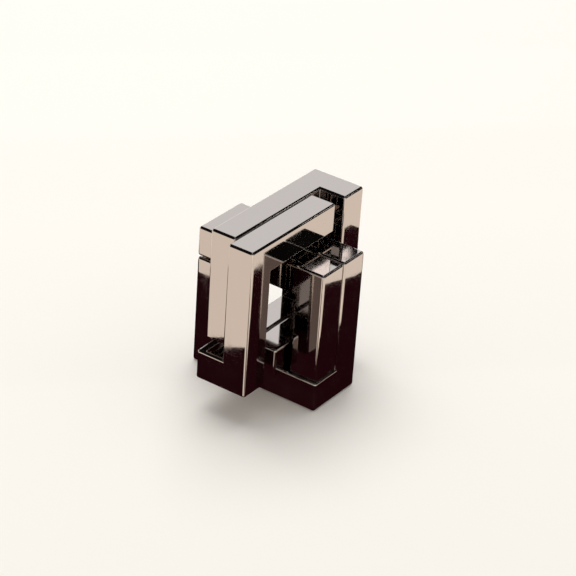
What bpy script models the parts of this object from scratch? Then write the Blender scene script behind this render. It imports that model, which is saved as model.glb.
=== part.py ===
"""Metal ring disentanglement puzzle: four cast split rings that hang in each other in two crossed pairs.

Every ring is one rectangular loop of flat bar. Half of the loop lies in one layer and half in the layer
beside it, so the loop steps sideways by one bar at a corner (the joggle) and its two ends pass each
other. The two rings of a pair lie side by side, one turned half a turn, and fill each other's layers.
The lower pair stands on the ground along X. The upper pair lies along Y, runs through the window of the
lower pair, and rests on its bottom bars. The origin is on the ground, under the middle of the puzzle.
"""

from math import pi, radians

import bmesh
import bpy
from mathutils import Matrix, Vector

MM = 0.001

BAR_DEPTH = 8.5 * MM  # the bar's thickness in the plane of its ring
LAYER_GAP = 0.3 * MM  # between the two layers of a pair
BAR_TIP_GAP = 0.8 * MM  # between the long bar's free tip and the column that it points at
OUTER_ROUND = 0.7 * MM
INNER_ROUND = 0.15 * MM
STEP_ROUND = 0.05 * MM  # on the joggle's short step across the layer gap
ROUND_STEPS = 3

UPPER_WIDTH = 7.7 * MM  # across one layer
UPPER_LENGTH = 45.2 * MM
UPPER_HEIGHT = 42.3 * MM
UPPER_TIP_GAP = 1.9 * MM  # between a column's free tip and the bar that it points at
UPPER_PULL = 3.5 * MM  # how far the right ring of the upper pair is pulled out of its mate, towards -Y

LOWER_WIDTH = 9.0 * MM
LOWER_LENGTH = 39.9 * MM
LOWER_HEIGHT = 40.5 * MM
LOWER_TIP_GAP = 0.5 * MM  # the lower pair is the tighter one

REST_GAP = 0.3 * MM  # between the upper pair and the lower bars that carry it
WINDOW_GAP = 1.1 * MM  # between the upper pair and the lower columns at +X

# sRGB 195, 190, 189 as linear light
BLACK_NICKEL = (0.546, 0.515, 0.509, 1.0)

DOWN = Vector((0, 0, -1))
ACROSS = Vector((1, 0, 0))
ALONG = Vector((0, 1, 0))


def clear_scene():
    for thing in list(bpy.data.objects):
        bpy.data.objects.remove(thing, do_unlink=True)


def grow(mesh, block, direction, length):
    """Extrudes the face of the block that looks in the direction, and returns the new block's faces."""
    face = max(block, key=lambda side: side.normal.dot(direction))
    made = bmesh.ops.extrude_face_region(mesh, geom=[face])["geom"]
    tip = next(part for part in made if isinstance(part, bmesh.types.BMFace))
    bmesh.ops.translate(mesh, vec=direction * length, verts=tip.verts)
    if face.is_valid:
        bmesh.ops.delete(mesh, geom=[face], context="FACES_ONLY")
    mesh.normal_update()
    return [tip] + [side for edge in tip.edges for side in edge.link_faces if side is not tip]


def grow_ring(mesh, length, height, width, tip_gap):
    """Grows the bar from one corner: a column down to its free tip, then round the loop to the other."""
    corner = bmesh.ops.create_cube(mesh, size=1.0)["verts"]
    size = Vector((width, BAR_DEPTH, BAR_DEPTH))
    middle = Vector((width / 2, BAR_DEPTH / 2, height - BAR_DEPTH / 2))
    bmesh.ops.transform(mesh, matrix=Matrix.LocRotScale(middle, None, size), verts=corner)
    mesh.normal_update()
    block = list(mesh.faces)
    grow(mesh, block, DOWN, height - 2 * BAR_DEPTH - tip_gap)
    block = [face for face in block if face.is_valid]
    loop = [
        (ALONG, length - 2 * BAR_DEPTH),
        (ALONG, BAR_DEPTH),
        (ACROSS, LAYER_GAP),
        (ACROSS, width),
        (DOWN, height - 2 * BAR_DEPTH),
        (DOWN, BAR_DEPTH),
        (-ALONG, length - 2 * BAR_DEPTH - BAR_TIP_GAP),
    ]
    for direction, reach in loop:
        block = grow(mesh, block, direction, reach)
    bmesh.ops.dissolve_limit(mesh, angle_limit=radians(1), verts=mesh.verts, edges=mesh.edges)


def weigh_edges(mesh):
    """Outer edges take the full round, inner corners a small one, and the joggle's short step least."""
    weights = mesh.edges.layers.float.new("bevel_weight_edge")
    for edge in mesh.edges:
        if edge.calc_length() < 1.5 * LAYER_GAP:
            edge[weights] = STEP_ROUND / OUTER_ROUND
        elif edge.is_convex:
            edge[weights] = 1.0
        else:
            edge[weights] = INNER_ROUND / OUTER_ROUND


def round_edges(ring):
    bevel = ring.modifiers.new("Rounded edges", "BEVEL")
    bevel.limit_method = "WEIGHT"
    bevel.width = OUTER_ROUND
    bevel.segments = ROUND_STEPS
    bevel.use_clamp_overlap = False


def nickel(name):
    material = bpy.data.materials.new(name + "_nickel")
    material.use_nodes = True
    shader = material.node_tree.nodes["Principled BSDF"]
    shader.inputs["Base Color"].default_value = BLACK_NICKEL
    shader.inputs["Metallic"].default_value = 1.0
    shader.inputs["Roughness"].default_value = 0.08
    return material


def split_ring(name, length, height, width, tip_gap, location, rotation):
    mesh = bmesh.new()
    grow_ring(mesh, length, height, width, tip_gap)
    weigh_edges(mesh)
    data = bpy.data.meshes.new(name)
    mesh.to_mesh(data)
    mesh.free()
    data.shade_smooth()
    data.set_sharp_from_angle(angle=radians(40))
    data.materials.append(nickel(name))
    ring = bpy.data.objects.new(name, data)
    bpy.context.scene.collection.objects.link(ring)
    ring.location = location
    ring.rotation_euler = rotation
    round_edges(ring)
    return ring


def upper_pair():
    """Along Y. The left ring's joggle is its far top corner, the right ring's is its near foot."""
    pair_width = 2 * UPPER_WIDTH + LAYER_GAP
    left = LOWER_LENGTH / 2 - BAR_DEPTH - WINDOW_GAP - pair_width
    near = -(UPPER_LENGTH - UPPER_PULL) / 2
    bottom = BAR_DEPTH + REST_GAP
    size = (UPPER_LENGTH, UPPER_HEIGHT, UPPER_WIDTH, UPPER_TIP_GAP)
    split_ring("upper_left_ring", *size, (left, near, bottom), (0, 0, 0))
    turned = (left, near + UPPER_LENGTH - UPPER_PULL, bottom + UPPER_HEIGHT)
    split_ring("upper_right_ring", *size, turned, (pi, 0, 0))


def lower_pair():
    """Along X, with its back against the far column of the pulled-out upper ring."""
    pair_width = 2 * LOWER_WIDTH + LAYER_GAP
    pulled_near = -(UPPER_LENGTH - UPPER_PULL) / 2 - UPPER_PULL
    far_column = pulled_near + UPPER_LENGTH - BAR_DEPTH
    front = far_column - REST_GAP - pair_width
    size = (LOWER_LENGTH, LOWER_HEIGHT, LOWER_WIDTH, LOWER_TIP_GAP)
    split_ring("lower_front_ring", *size, (LOWER_LENGTH / 2, front, 0), (0, 0, pi / 2))
    turned = (-LOWER_LENGTH / 2, front, LOWER_HEIGHT)
    split_ring("lower_back_ring", *size, turned, (pi, 0, pi / 2))


clear_scene()
upper_pair()
lower_pair()
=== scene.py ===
"""Looks of the metal ring disentanglement puzzle: four mirror-polished split rings, plated in black nickel.

Each ring is one loop of flat bar that Geometry Nodes grow block by block, as its casting tree would run,
from the sizes of its node in the frame. The loop's edges are then rounded, and the crests of the rounds and
the inner corners are marked: the crests for the plating's wear and a painted highlight, the inner corners for
a darker colour. The stage is a pale floor in soft light, with light cards, and with dark and grey-brown cards
that paint a dark reflection and shade, all of which only the polished metal sees.
"""

from math import cos, pi, radians, sin, tan

import bmesh
import bpy
from bpy.props import FloatProperty, FloatVectorProperty, IntProperty, PointerProperty
from mathutils import Euler, Matrix, Vector


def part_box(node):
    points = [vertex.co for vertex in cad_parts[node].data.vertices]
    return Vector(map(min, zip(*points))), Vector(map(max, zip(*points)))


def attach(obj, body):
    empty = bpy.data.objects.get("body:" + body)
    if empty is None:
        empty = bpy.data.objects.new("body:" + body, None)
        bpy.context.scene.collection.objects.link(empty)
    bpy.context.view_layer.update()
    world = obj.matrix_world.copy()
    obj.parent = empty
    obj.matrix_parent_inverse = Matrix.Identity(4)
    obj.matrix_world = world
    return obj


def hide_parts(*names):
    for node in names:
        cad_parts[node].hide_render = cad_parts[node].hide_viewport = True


bl_info = {
    "name": "Metal ring disentanglement puzzle",
    "version": (1, 0, 0),
    "blender": (4, 5, 0),
    "location": "3D View > Sidebar > Ring puzzle",
    "description": "Builds four interlocked split rings in polished black nickel, and their stage",
    "category": "Add Mesh",
}

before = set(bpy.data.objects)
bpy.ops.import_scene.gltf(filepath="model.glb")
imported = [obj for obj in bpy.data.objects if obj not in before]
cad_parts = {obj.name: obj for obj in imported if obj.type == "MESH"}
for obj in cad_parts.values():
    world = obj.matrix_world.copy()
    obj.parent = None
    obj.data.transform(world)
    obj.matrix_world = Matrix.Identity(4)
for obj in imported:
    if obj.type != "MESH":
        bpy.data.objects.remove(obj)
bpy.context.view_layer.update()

MM = 0.001

DOWN = (0, 0, -1)
ACROSS = (1, 0, 0)
ALONG = (0, 1, 0)
BACK_ALONG = (0, -1, 0)

CREST = "edge_crest"
CORNER = "inner_corner"

HAIRLINE_LENGTH = 7 * MM
HAIRLINE_WIDTH = 0.09 * MM  # real ones are finer, and would not show

WHITE = (1.0, 1.0, 1.0, 1.0)
CARD_DISTANCE = 1.2
CARD_STEPS = 12

# Name, turn from +X, half width, lowest and highest angle in degrees, strength
BENT_CARDS = (
    ("card_far_left", 126, 14, 0, 40, 1.05),
    ("card_left", 190, 22, 3, 30, 0.8),
    ("card_near", 284, 29, 3, 30, 0.8),
    ("card_right", 341, 29, 3, 30, 0.8),
    ("card_far", 80, 16, 3, 24, 0.7),
)


def linear(code, alpha=True):
    """An sRGB hex colour as linear light."""
    shares = [int(code[place : place + 2], 16) / 255 for place in (1, 3, 5)]
    light = [share / 12.92 if share <= 0.04045 else ((share + 0.055) / 1.055) ** 2.4 for share in shares]
    return (*light, 1.0) if alpha else tuple(light)


def length_setting(name, description, value):
    return FloatProperty(name=name, description=description, default=value, unit="LENGTH", precision=5)


def angle_setting(name, description, degrees):
    return FloatProperty(name=name, description=description, default=radians(degrees), subtype="ANGLE")


def share_setting(name, description, value):
    return FloatProperty(name=name, description=description, default=value, min=0, max=1, precision=3)


def colour_setting(name, description, code):
    return FloatVectorProperty(
        name=name, description=description, default=linear(code, alpha=False), subtype="COLOR", min=0, max=1
    )


class RingSettings(bpy.types.PropertyGroup):
    """What all four rings share. Each ring's length, height and width are its frame node's."""

    bar_depth: length_setting("Bar depth", "The bar's thickness in the plane of its ring", 8.5 * MM)
    layer_gap: length_setting("Layer gap", "Between the two layers of a pair", 0.3 * MM)
    upper_tip_gap: length_setting("Upper tip gap", "Between an upper column's free tip and its bar", 1.9 * MM)
    lower_tip_gap: length_setting("Lower tip gap", "Between a lower column's free tip and its bar", 0.5 * MM)
    bar_tip_gap: length_setting("Bar tip gap", "Between the long bar's free tip and its column", 0.8 * MM)
    outer_round: length_setting("Outer round", "Radius of the outer edges", 0.7 * MM)
    inner_round: length_setting("Inner round", "Radius in the inner corners", 0.15 * MM)
    step_round: length_setting("Step round", "Radius on the joggle's short step", 0.05 * MM)
    round_steps: IntProperty(name="Round steps", description="Faces across one round", default=8, min=2)


class FinishSettings(bpy.types.PropertyGroup):
    """The plating and what handling has done to it."""

    plating: colour_setting("Plating", "Polished black nickel, seen in white light", "#BDB6B2")
    # Paler crests: thin, worn plating, and partly a painted highlight along the edges.
    worn_and_highlight: colour_setting("Worn plating", "Thin plating on the crests of the edges", "#D5CCC2")
    # Darker colour in the inner corners.
    corner_darkening: colour_setting("Residue", "Polishing compound left in the inner corners", "#4A4440")
    polish: share_setting("Polish", "Roughness of a clean face", 0.035)
    smudge: share_setting("Smudge", "Roughness that handling adds", 0.07)
    worn_dullness: share_setting("Worn dullness", "Roughness that wear adds", 0.08)
    # Roughness added where the inner corners are darker.
    corner_dullness: share_setting("Residue dullness", "Roughness that residue adds", 0.3)
    scratch_dullness: share_setting("Scratch dullness", "Roughness that hairlines add", 0.06)
    wave_height: length_setting("Wave height", "How far buffing leaves a face out of flat", 0.014 * MM)
    peel_height: length_setting("Peel height", "Depth of the plating's fine orange peel", 0.0003 * MM)
    scratch_depth: length_setting("Scratch depth", "Depth of the hairlines", 0.0003 * MM)


class StageSettings(bpy.types.PropertyGroup):
    """The floor, the light and the camera."""

    floor: colour_setting("Floor", "Pale matt floor", "#F1EEE8")
    sweep: colour_setting("Sweep", "Warm card round the mat, which only the metal sees", "#FFF0E0")
    # Painted shade: a grey-brown sheet that only the metal sees darkens what two pieces mirror into each
    # other.
    shade: colour_setting("Shade", "Grey-brown card at the near right, which only the metal sees", "#95867F")
    # Painted reflection: a dark wine sheet that only the metal sees paints a dark reflection into the lower
    # half of the faces.
    mat: colour_setting("Mat", "Dark cloth that only the metal sees", "#280B11")
    azimuth: angle_setting("Azimuth", "Camera's turn from the front, towards +X", 33.78)
    elevation: angle_setting("Elevation", "Camera's height above the horizon", 29.96)
    roll: angle_setting("Roll", "Camera's lean to its left", 4.05)
    distance: length_setting("Distance", "From the camera to the point it looks at", 620.3 * MM)
    lens: FloatProperty(name="Lens", description="Focal length in millimetres", default=148.6)
    aim: FloatVectorProperty(
        name="Aim", description="Point in the middle of the view", default=(0.00307, 0.003, 0.02686),
        subtype="TRANSLATION", unit="LENGTH", precision=5,
    )


# ---------------------------------------------------------------- nodes


def add(tree, kind, inputs=None, **settings):
    """Adds a node: settings are its properties, and inputs its sockets' values or the outputs they take."""
    node = tree.nodes.new(kind)
    for name, value in settings.items():
        setattr(node, name, value)
    for socket, value in (inputs or {}).items():
        if isinstance(value, bpy.types.NodeSocket):
            tree.links.new(value, node.inputs[socket])
        else:
            node.inputs[socket].default_value = value
    return node


def ring_tree():
    """Geometry Nodes that grow a split ring: a cube at the near top corner, a column down to one free tip,
    and the loop round to the other, each block an extruded face of the last."""
    tree = bpy.data.node_groups.new("Split ring", "GeometryNodeTree")
    sizes = ("Length", "Height", "Width", "Bar depth", "Layer gap", "Column tip gap", "Bar tip gap")
    for name in sizes:
        socket = tree.interface.new_socket(name, in_out="INPUT", socket_type="NodeSocketFloat")
        socket.subtype = "DISTANCE"
    tree.interface.new_socket("Material", in_out="INPUT", socket_type="NodeSocketMaterial")
    tree.interface.new_socket("Geometry", in_out="OUTPUT", socket_type="NodeSocketGeometry")
    given = add(tree, "NodeGroupInput").outputs
    length, height, width, depth, gap, column_tip, bar_tip = (given[name] for name in sizes)
    normal = add(tree, "GeometryNodeInputNormal").outputs["Normal"]

    def grow(mesh, block, direction, reach):
        """Extrudes the block's face that looks in the direction. Returns the mesh and the new block."""
        facing = add(tree, "ShaderNodeVectorMath", {0: normal, 1: direction}, operation="DOT_PRODUCT")
        looks = add(tree, "ShaderNodeMath", {0: facing.outputs["Value"], 1: 0.5}, operation="GREATER_THAN")
        face = add(tree, "FunctionNodeBooleanMath", {0: block, 1: looks.outputs[0]}, operation="AND")
        chosen = {"Mesh": mesh, "Selection": face.outputs[0], "Offset Scale": reach}
        made = add(tree, "GeometryNodeExtrudeMesh", chosen, mode="FACES").outputs
        grown = add(tree, "FunctionNodeBooleanMath", {0: made["Top"], 1: made["Side"]}, operation="OR")
        return made["Mesh"], grown.outputs[0]

    half_width = add(tree, "ShaderNodeMath", {0: width, 1: 2.0}, operation="DIVIDE").outputs[0]
    half_depth = add(tree, "ShaderNodeMath", {0: depth, 1: 2.0}, operation="DIVIDE").outputs[0]
    top = add(tree, "ShaderNodeMath", {0: height, 1: half_depth}, operation="SUBTRACT").outputs[0]
    size = add(tree, "ShaderNodeCombineXYZ", {"X": width, "Y": depth, "Z": depth}).outputs[0]
    middle = add(tree, "ShaderNodeCombineXYZ", {"X": half_width, "Y": half_depth, "Z": top}).outputs[0]
    cube = add(tree, "GeometryNodeMeshCube", {"Size": size}).outputs["Mesh"]
    corner = add(tree, "GeometryNodeTransform", {"Geometry": cube, "Translation": middle}).outputs["Geometry"]

    two_bars = add(tree, "ShaderNodeMath", {0: depth, 1: 2.0}, operation="MULTIPLY").outputs[0]
    tall = add(tree, "ShaderNodeMath", {0: height, 1: two_bars}, operation="SUBTRACT").outputs[0]
    long = add(tree, "ShaderNodeMath", {0: length, 1: two_bars}, operation="SUBTRACT").outputs[0]
    column = add(tree, "ShaderNodeMath", {0: tall, 1: column_tip}, operation="SUBTRACT").outputs[0]
    long_bar = add(tree, "ShaderNodeMath", {0: long, 1: bar_tip}, operation="SUBTRACT").outputs[0]
    mesh, grown = grow(corner, True, DOWN, column)
    block = add(tree, "FunctionNodeBooleanMath", {0: grown}, operation="NOT").outputs[0]
    loop = [
        (ALONG, long),
        (ALONG, depth),
        (ACROSS, gap),
        (ACROSS, width),
        (DOWN, tall),
        (DOWN, depth),
        (BACK_ALONG, long_bar),
    ]
    for direction, reach in loop:
        mesh, block = grow(mesh, block, direction, reach)
    real = add(tree, "GeometryNodeRealizeInstances", {"Geometry": mesh}).outputs["Geometry"]
    made = add(tree, "GeometryNodeSetMaterial", {"Geometry": real, "Material": given["Material"]})
    add(tree, "NodeGroupOutput", {"Geometry": made.outputs["Geometry"]})
    return tree


# ---------------------------------------------------------------- rings


def shape_of(holder):
    """The evaluated mesh of an object, as a plain mesh."""
    seen = holder.evaluated_get(bpy.context.evaluated_depsgraph_get())
    return bpy.data.meshes.new_from_object(seen)


def grown_loop(name, sizes, material):
    """A ring's sharp-edged loop, from the Geometry Nodes tree, with its flat faces whole."""
    tree = bpy.data.node_groups.get("Split ring") or ring_tree()
    holder = bpy.data.objects.new(name, bpy.data.meshes.new(name + "_seed"))
    bpy.context.scene.collection.objects.link(holder)
    grower = holder.modifiers.new("Split ring", "NODES")
    grower.node_group = tree
    for item in tree.interface.items_tree:
        if item.in_out == "INPUT":
            grower[item.identifier] = material if item.name == "Material" else sizes[item.name]
    holder.data = shape_of(holder)
    holder.modifiers.remove(grower)
    mesh = bmesh.new()
    mesh.from_mesh(holder.data)
    bmesh.ops.dissolve_limit(mesh, angle_limit=radians(1), verts=mesh.verts, edges=mesh.edges)
    return holder, mesh


def weigh_edges(mesh, ring):
    """Outer edges take the full round, inner corners a small one, and the joggle's short step least."""
    weights = mesh.edges.layers.float.new("bevel_weight_edge")
    for edge in mesh.edges:
        if edge.calc_length() < 1.5 * ring.layer_gap:
            edge[weights] = ring.step_round / ring.outer_round
        elif edge.is_convex:
            edge[weights] = 1.0
        else:
            edge[weights] = ring.inner_round / ring.outer_round


def mark_rounds(shape):
    """Stores how near each point is to the crest of an outer round, or to the root of an inner corner.

    Flat faces lie square to the axes, so a point's normal says where on a round it is."""
    mesh = bmesh.new()
    mesh.from_mesh(shape)
    crest = mesh.verts.layers.float.new(CREST)
    root = mesh.verts.layers.float.new(CORNER)
    flat_to_crest = 1 - cos(pi / 4)
    for point in mesh.verts:
        turned = (1 - max(map(abs, point.normal))) / flat_to_crest
        hollow = sum((edge.other_vert(point).co - point.co).dot(point.normal) for edge in point.link_edges)
        point[crest if hollow < 0 else root] = min(turned, 1.0)
    mesh.to_mesh(shape)
    mesh.free()


def split_ring(name, node, body, turns, tip_gap, finish):
    """One ring in its place: grown, rounded, its crests and inner corners marked, and turned into its node's
    box.
    """
    ring = bpy.context.scene.ring_puzzle_ring
    low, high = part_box(node)
    extent = Euler(turns).to_matrix().transposed() @ (high - low)
    sizes = {
        "Length": abs(extent.y),
        "Height": abs(extent.z),
        "Width": (abs(extent.x) - ring.layer_gap) / 2,
        "Bar depth": ring.bar_depth,
        "Layer gap": ring.layer_gap,
        "Column tip gap": tip_gap,
        "Bar tip gap": ring.bar_tip_gap,
    }
    piece, mesh = grown_loop(name, sizes, finish)
    weigh_edges(mesh, ring)
    mesh.to_mesh(piece.data)
    mesh.free()
    piece.data.shade_smooth()
    rounding = piece.modifiers.new("Rounded edges", "BEVEL")
    rounding.limit_method = "WEIGHT"
    rounding.width = ring.outer_round
    rounding.segments = ring.round_steps
    rounding.use_clamp_overlap = False
    rounding.harden_normals = True
    shape = shape_of(piece)
    piece.modifiers.remove(rounding)
    mark_rounds(shape)
    shape.transform(Euler(turns).to_matrix().to_4x4())
    corner = Vector(min(point.co[axis] for point in shape.vertices) for axis in range(3))
    shape.transform(Matrix.Translation(low - corner))
    shape.name = name
    piece.data = shape
    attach(piece, body)
    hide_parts(node)
    return piece


# ---------------------------------------------------------------- finishes


def new_material(name):
    material = bpy.data.materials.new(name)
    material.use_nodes = True
    tree = material.node_tree
    return material, tree, tree.nodes["Principled BSDF"]


def black_nickel():
    """Die-cast zinc, buffed to a mirror and electroplated with bright black nickel: a warm grey mirror.

    Buffing leaves faces a few microns out of flat, so reflections bend a little. Hands leave soft smudges,
    keys and coins leave hairlines, and the crests of the edges, where the plating is thin, turn paler, which
    also paints a highlight along them."""
    finish = bpy.context.scene.ring_puzzle_finish
    material, tree, shader = new_material("mirror_black_nickel")
    shader.inputs["Metallic"].default_value = 1.0
    place = add(tree, "ShaderNodeTexCoord").outputs["Object"]
    field = {
        "crest": add(tree, "ShaderNodeAttribute", attribute_name=CREST).outputs["Fac"],
        "root": add(tree, "ShaderNodeAttribute", attribute_name=CORNER).outputs["Fac"],
    }

    # Each noise has the size of its spots, its finer layers, and the strength of those. Plating rubs through
    # in patches on
    #     the crests, which also paints a highlight, the inner corners darken in grains, and smudges are
    #     finger marks with finer skin marks in them.
    for name, size, detail, roughness in (
        ("patches", 3 * MM, 3.0, 0.5),
        ("grains", 1.2 * MM, 4.0, 0.5),
        ("smudges", 8 * MM, 5.0, 0.62),
        ("wave", 11 * MM, 1.0, 0.5),
        ("peel", 0.7 * MM, 1.0, 0.5),
    ):
        spots = {"Vector": place, "Scale": 1 / size, "Detail": detail, "Roughness": roughness}
        field[name] = add(tree, "ShaderNodeTexNoise", spots).outputs["Fac"]

    # Hairlines lie two ways. Each is noise drawn out along a turned axis, and shows where it peaks.
    for name, turns in (("hairlines", (20, 35, 62)), ("cross_hairlines", (75, -40, 15))):
        turned = {
            "Vector": place,
            "Rotation": [radians(turn) for turn in turns],
            "Scale": (HAIRLINE_WIDTH / HAIRLINE_LENGTH, 1, 1),
        }
        drawn = add(tree, "ShaderNodeMapping", turned).outputs["Vector"]
        streaks = {"Vector": drawn, "Scale": 0.5 / HAIRLINE_WIDTH, "Detail": 0.0, "Roughness": 0.5}
        field[name] = add(tree, "ShaderNodeTexNoise", streaks).outputs["Fac"]

    # Where each field starts and ends, and the share that it has there.
    for name, start, end, least, most in (
        ("crest", 0.35, 1.0, 0.0, 1.0),
        ("root", 0.1, 0.9, 0.0, 1.0),
        ("patches", 0.42, 0.62, 0.15, 1.0),
        ("grains", 0.3, 0.6, 0.3, 0.9),
        ("smudges", 0.45, 0.75, 0.0, 1.0),
        ("hairlines", 0.72, 0.80, 0.0, 1.0),
        ("cross_hairlines", 0.72, 0.80, 0.0, 1.0),
    ):
        span = {"Value": field[name], "From Min": start, "From Max": end, "To Min": least, "To Max": most}
        field[name] = add(tree, "ShaderNodeMapRange", span, interpolation_type="SMOOTHSTEP").outputs["Result"]

    # The first is crest wear in patches, partly a painted highlight. The second is a darker colour in the
    # inner corners, in grains.
    for name, operation, first, second in (
        ("wear_and_highlight", "MULTIPLY", "crest", "patches"),
        ("corner_darkening", "MULTIPLY", "root", "grains"),
        ("scratches", "MAXIMUM", "hairlines", "cross_hairlines"),
    ):
        pair = {0: field[first], 1: field[second]}
        field[name] = add(tree, "ShaderNodeMath", pair, operation=operation).outputs[0]

    # Paler crests are worn plating and partly a painted highlight. The inner corners are mixed darker.
    colour = (*finish.plating, 1.0)
    for name, coat in (("wear_and_highlight", finish.worn_and_highlight), ("corner_darkening", finish.corner_darkening)):
        coats = {"Factor": field[name], "A": colour, "B": (*coat, 1.0)}
        colour = add(tree, "ShaderNodeMix", coats, data_type="RGBA").outputs[2]
    tree.links.new(colour, shader.inputs["Base Color"])

    rough = finish.polish
    for name, added in (
        ("smudges", finish.smudge),
        ("wear_and_highlight", finish.worn_dullness),
        ("corner_darkening", finish.corner_dullness),
        ("scratches", finish.scratch_dullness),
    ):
        terms = {0: field[name], 1: added, 2: rough}
        rough = add(tree, "ShaderNodeMath", terms, operation="MULTIPLY_ADD").outputs[0]
    tree.links.new(rough, shader.inputs["Roughness"])

    height = 0.0
    for name, rise in (
        ("wave", finish.wave_height),
        ("peel", finish.peel_height),
        ("scratches", -finish.scratch_depth),
    ):
        terms = {0: field[name], 1: rise, 2: height}
        height = add(tree, "ShaderNodeMath", terms, operation="MULTIPLY_ADD").outputs[0]
    bump = add(tree, "ShaderNodeBump", {"Strength": 1.0, "Distance": 1.0, "Height": height})
    tree.links.new(bump.outputs["Normal"], shader.inputs["Normal"])
    return material


def matt_floor():
    """Seamless studio paper: pale, matt, and even."""
    material, _, shader = new_material("pale_studio_paper")
    shader.inputs["Base Color"].default_value = (*bpy.context.scene.ring_puzzle_stage.floor, 1.0)
    shader.inputs["Roughness"].default_value = 0.9
    return material


def glow(name, colour, strength):
    """A card that shines evenly."""
    material = bpy.data.materials.new(name)
    material.use_nodes = True
    tree = material.node_tree
    tree.nodes.clear()
    light = add(tree, "ShaderNodeEmission", {"Color": colour, "Strength": strength})
    add(tree, "ShaderNodeOutputMaterial", {"Surface": light.outputs["Emission"]})
    return material


# ---------------------------------------------------------------- stage


def stage_sheet(name, corners, material, faces=None):
    """A sheet that isn't part of the object: one face through its corners, unless its faces are given."""
    data = bpy.data.meshes.new(name)
    data.from_pydata(corners, [], faces or [list(range(len(corners)))])
    data.materials.append(material)
    sheet = bpy.data.objects.new(name, data)
    bpy.context.scene.collection.objects.link(sheet)
    return sheet


def card(name, corners, material, faces=None):
    """A sheet that only the polished metal sees: no camera, no shadow, no light on the floor."""
    sheet = stage_sheet(name, corners, material, faces)
    sheet.visible_camera = False
    sheet.visible_diffuse = False
    sheet.visible_shadow = False
    sheet.visible_transmission = False


def bent_card(name, turn, half_width, low, high, strength):
    """A bright upright card, bent round the object. Angles are in degrees: turn from +X, the rest as seen."""
    turns = [radians(turn + half_width * (2 * step / CARD_STEPS - 1)) for step in range(CARD_STEPS + 1)]
    corners = [
        (CARD_DISTANCE * cos(along), CARD_DISTANCE * sin(along), CARD_DISTANCE * tan(radians(edge)))
        for edge in (low, high)
        for along in turns
    ]
    row = len(turns)
    faces = [(step, step + 1, row + step + 1, row + step) for step in range(CARD_STEPS)]
    card(name, corners, glow(name, WHITE, strength), faces)


def floor():
    far, level = 2.0, -0.1 * MM
    corners = [(-far, -far, level), (far, -far, level), (far, far, level), (-far, far, level)]
    stage_sheet("floor", corners, matt_floor())


def floor_cards():
    """A dark wine sheet under the puzzle paints a dark reflection into the lower half of the polished faces,
    a wide pale card round it gives the upper half its warmth, and a grey-brown one at the near right paints
    shade into what two pieces mirror into each other. Outlines are in millimetres."""
    stage = bpy.context.scene.ring_puzzle_stage
    # Outline of the dark sheet that paints a dark reflection into the lower faces.
    painted_reflection = (
        (-75, -44), (-26, -45), (-17, -53), (-11, -58), (13, -31), (46, -24),
        (57, -12), (57, 48), (52.5, 60), (51.5, 85), (-75, 85),
    )
    # Outline of the grey-brown sheet that paints shade into the double reflections.
    shade = ((14, -26), (31, -18), (64, -62), (62, -92), (44, -92), (22, -52))
    sweep = ((-1150, -1150), (1150, -1150), (1150, 1150), (-1150, 1150))
    for name, level, outline, finish in (
        ("painted_dark_reflection_card", -0.03, painted_reflection, glow("dark_wine_painted_reflection", (*stage.mat, 1.0), 1.0)),
        ("painted_shade_reflection_card", -0.04, shade, glow("grey_brown_painted_shade", (*stage.shade, 1.0), 1.0)),
        ("reflected_sweep", -0.06, sweep, glow("warm_white_card", (*stage.sweep, 1.0), 1.15)),
    ):
        card(name, [(x * MM, y * MM, level * MM) for x, y in outline], finish)


def card_behind():
    """A small bright card behind the right end, which the upper pair's side mirrors to the lower tops."""
    side, near, far, low, high = (size * MM for size in (53, 62, 88, 90.3, 96))
    corners = [(side, near, low), (side, far, low), (side, far, high), (side, near, high)]
    card("card_behind", corners, glow("card_behind", (1.0, 0.98, 0.98, 1.0), 2.8))


def card_above():
    half, height = 0.28, 1.2
    corners = [(-half, -half, height), (half, -half, height), (half, half, height), (-half, half, height)]
    card("card_above", corners, glow("card_above", WHITE, 0.8))


def overhead_light():
    """A large soft light that looks at the object. The metal doesn't see it, it sees the cards."""
    data = bpy.data.lights.new("overhead", "AREA")
    data.size = 0.9
    data.energy = 10
    lamp = bpy.data.objects.new("overhead", data)
    bpy.context.scene.collection.objects.link(lamp)
    lamp.location = (-0.3, 0.25, 1.1)
    lamp.rotation_euler = (-lamp.location).to_track_quat("-Z", "Y").to_euler()
    lamp.visible_camera = False
    lamp.visible_glossy = False


def studio_air():
    """Even pale surroundings for the floor and the camera, and a dim room for the metal."""
    world = bpy.data.worlds.new("studio")
    world.use_nodes = True
    tree = world.node_tree
    tree.nodes.clear()
    path = add(tree, "ShaderNodeLightPath").outputs
    pale = add(tree, "ShaderNodeBackground", {"Color": linear("#F4F2EF"), "Strength": 0.55}).outputs[0]
    dim = add(tree, "ShaderNodeBackground", {"Color": linear("#2A2626"), "Strength": 0.35}).outputs[0]
    air = add(tree, "ShaderNodeMixShader", {0: path["Is Glossy Ray"], 1: pale, 2: dim}).outputs[0]
    add(tree, "ShaderNodeOutputWorld", {"Surface": air})
    bpy.context.scene.world = world


def camera():
    stage = bpy.context.scene.ring_puzzle_stage
    flat = Vector((sin(stage.azimuth), -cos(stage.azimuth), 0)) * cos(stage.elevation)
    back = flat + Vector((0, 0, sin(stage.elevation)))
    data = bpy.data.cameras.new("camera")
    data.lens = stage.lens
    eye = bpy.data.objects.new("camera", data)
    bpy.context.scene.collection.objects.link(eye)
    eye.location = Vector(stage.aim) + back * stage.distance
    eye.rotation_mode = "QUATERNION"
    eye.rotation_quaternion = (-back).to_track_quat("-Z", "Y") @ Euler((0, 0, stage.roll)).to_quaternion()
    bpy.context.scene.camera = eye


# ---------------------------------------------------------------- operators


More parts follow.
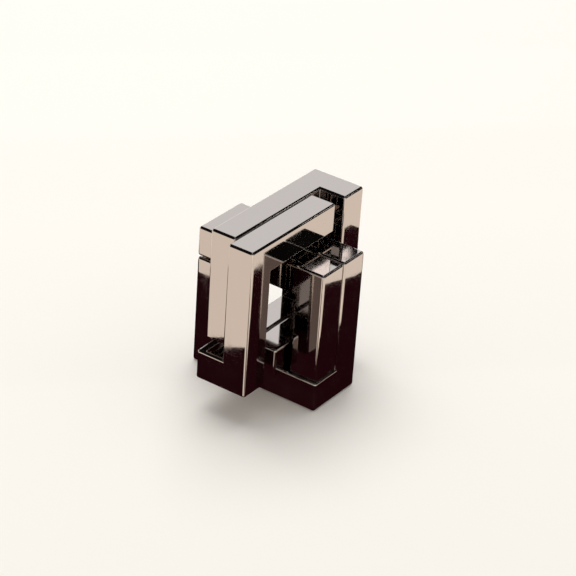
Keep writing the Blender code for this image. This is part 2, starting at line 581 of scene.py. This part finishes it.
class PUZZLE_OT_upper_pair(bpy.types.Operator):
    """Build the two rings that lie along Y and hang in the lower pair"""

    bl_idname = "puzzle.upper_pair"
    bl_label = "Upper pair"

    def execute(self, context):
        finish = bpy.data.materials.get("mirror_black_nickel") or black_nickel()
        tip_gap = context.scene.ring_puzzle_ring.upper_tip_gap
        for name, turns in (("upper_left", (0, 0, 0)), ("upper_right", (pi, 0, 0))):
            split_ring(name + "_split_ring", name + "_ring", name, turns, tip_gap, finish)
        return {"FINISHED"}


class PUZZLE_OT_lower_pair(bpy.types.Operator):
    """Build the two rings that stand along X and carry the others"""

    bl_idname = "puzzle.lower_pair"
    bl_label = "Lower pair"

    def execute(self, context):
        finish = bpy.data.materials.get("mirror_black_nickel") or black_nickel()
        tip_gap = context.scene.ring_puzzle_ring.lower_tip_gap
        for name, turns in (("lower_front", (0, 0, pi / 2)), ("lower_back", (pi, 0, pi / 2))):
            split_ring(name + "_split_ring", name + "_ring", name, turns, tip_gap, finish)
        return {"FINISHED"}


class PUZZLE_OT_stage(bpy.types.Operator):
    """Set the floor, the cards, the light and the camera"""

    bl_idname = "puzzle.stage"
    bl_label = "Stage"

    def execute(self, context):
        floor()
        floor_cards()
        for bent in BENT_CARDS:
            bent_card(*bent)
        card_behind()
        card_above()
        overhead_light()
        studio_air()
        camera()
        context.scene.view_settings.view_transform = "Standard"
        return {"FINISHED"}


class PUZZLE_PT_panel(bpy.types.Panel):
    """Lists the puzzle's sizes, finish and steps in the sidebar"""

    bl_label = "Ring puzzle"
    bl_idname = "PUZZLE_PT_panel"
    bl_space_type = "VIEW_3D"
    bl_region_type = "UI"
    bl_category = "Ring puzzle"

    def draw(self, context):
        for settings in (
            context.scene.ring_puzzle_ring, context.scene.ring_puzzle_finish, context.scene.ring_puzzle_stage
        ):
            box = self.layout.box()
            for name in settings.bl_rna.properties.keys():
                if name not in ("rna_type", "name"):
                    box.prop(settings, name)
        for operator in (PUZZLE_OT_upper_pair, PUZZLE_OT_lower_pair, PUZZLE_OT_stage):
            self.layout.operator(operator.bl_idname)


CLASSES = (
    RingSettings,
    FinishSettings,
    StageSettings,
    PUZZLE_OT_upper_pair,
    PUZZLE_OT_lower_pair,
    PUZZLE_OT_stage,
    PUZZLE_PT_panel,
)
SETTINGS = {
    "ring_puzzle_ring": RingSettings,
    "ring_puzzle_finish": FinishSettings,
    "ring_puzzle_stage": StageSettings,
}


def register():
    for kind in CLASSES:
        bpy.utils.register_class(kind)
    for name, kind in SETTINGS.items():
        setattr(bpy.types.Scene, name, PointerProperty(type=kind))


def unregister():
    for name in SETTINGS:
        delattr(bpy.types.Scene, name)
    for kind in reversed(CLASSES):
        bpy.utils.unregister_class(kind)


def main():
    register()
    bpy.ops.puzzle.upper_pair()
    bpy.ops.puzzle.lower_pair()
    bpy.ops.puzzle.stage()


if __name__ == "__main__":
    main()
